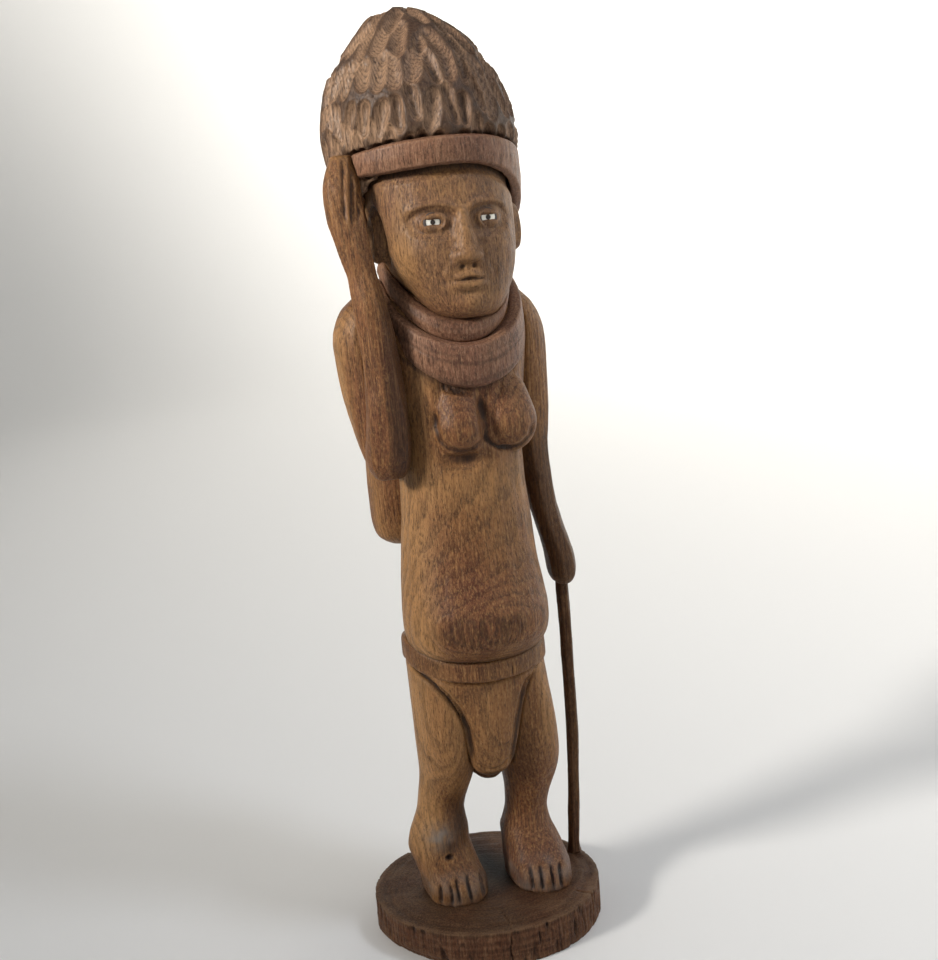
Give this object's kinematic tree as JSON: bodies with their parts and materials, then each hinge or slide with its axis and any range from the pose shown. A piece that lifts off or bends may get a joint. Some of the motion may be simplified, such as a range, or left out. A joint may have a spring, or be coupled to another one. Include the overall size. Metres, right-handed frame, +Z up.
{
  "type": "carved ancestor figure",
  "caption": "Hardwood ancestor figure carved from a log, standing on a log slab with a walking stick, a head-carried bag and shell-inlaid eyes",
  "frame": {"origin": "middle of the plinth's underside, on the floor", "axes": "+Z up along the log, the figure faces -Y, its left hand is on +X; metres"},
  "size_m": [0.2052, 0.203, 0.789],
  "materials": {
    "carved_wood": "hand-carved, oiled and rubbed to a satin sheen",
    "plinth_wood": "dark oiled end grain, adzed side",
    "eye_putty": "dark resin putty, matt",
    "eye_shell": "polished white shell",
    "pupil": "dark polished plug"
  },
  "bodies": {
    "root": {"plinth": "plinth_wood", "right_foot": "carved_wood", "left_foot": "carved_wood", "right_leg": "carved_wood", "left_leg": "carved_wood", "torso": "carved_wood", "belt": "carved_wood", "front_apron": "carved_wood", "rear_apron": "carved_wood", "neck_roll": "carved_wood", "collar": "carved_wood", "head": "carved_wood", "hair": "carved_wood", "headband": "carved_wood", "right_upper_arm": "carved_wood", "right_forearm": "carved_wood", "right_hand": "carved_wood", "left_upper_arm": "carved_wood", "left_forearm": "carved_wood", "left_hand": "carved_wood", "walking_stick": "carved_wood", "carrying_bag": "carved_wood", "right_strap": "carved_wood", "left_strap": "carved_wood", "right_eye_putty": "eye_putty", "right_eye_shell": "eye_shell", "right_pupil": "pupil", "left_eye_putty": "eye_putty", "left_eye_shell": "eye_shell", "left_pupil": "pupil"}
  },
  "joints": []
}
